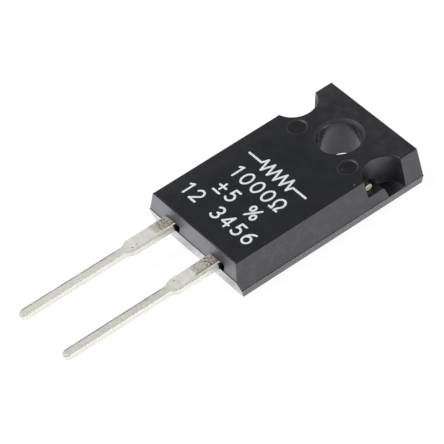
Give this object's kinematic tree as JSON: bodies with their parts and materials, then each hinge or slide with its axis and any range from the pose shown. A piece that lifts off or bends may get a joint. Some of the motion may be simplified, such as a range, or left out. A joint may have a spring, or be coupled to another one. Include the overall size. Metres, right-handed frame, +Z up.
{
  "type": "power film resistor",
  "caption": "Flat moulded power film resistor with flat leads at one end, a screw hole through the other and a ceramic mounting face.",
  "frame": {"origin": "axis of the mounting hole, in the plane of the mounting face", "axes": "+Z up through the hole to the marked face, leads pointing along -Y, +X across the body"},
  "size_m": [0.0102, 0.0289, 0.0032],
  "materials": {
    "moulding": "matte black epoxy moulding compound",
    "lead_plating": "matte solder plating on copper",
    "cut_metal": "sheared plated copper",
    "ceramic": "fired alumina, unglazed",
    "film": "printed resistive film",
    "termination": "fired silver print",
    "overcoat_glass": "green glass overcoat",
    "solder": "reflowed solder",
    "ink": "white marking ink"
  },
  "bodies": {
    "root": {"body": "moulding", "lead_left": "lead_plating", "lead_right": "lead_plating", "tie_bar_left": "cut_metal", "tie_bar_right": "cut_metal", "substrate": "ceramic", "film": "film", "termination_left": "termination", "termination_right": "termination", "overcoat": "overcoat_glass", "solder_left": "solder", "solder_right": "solder"}
  },
  "joints": []
}
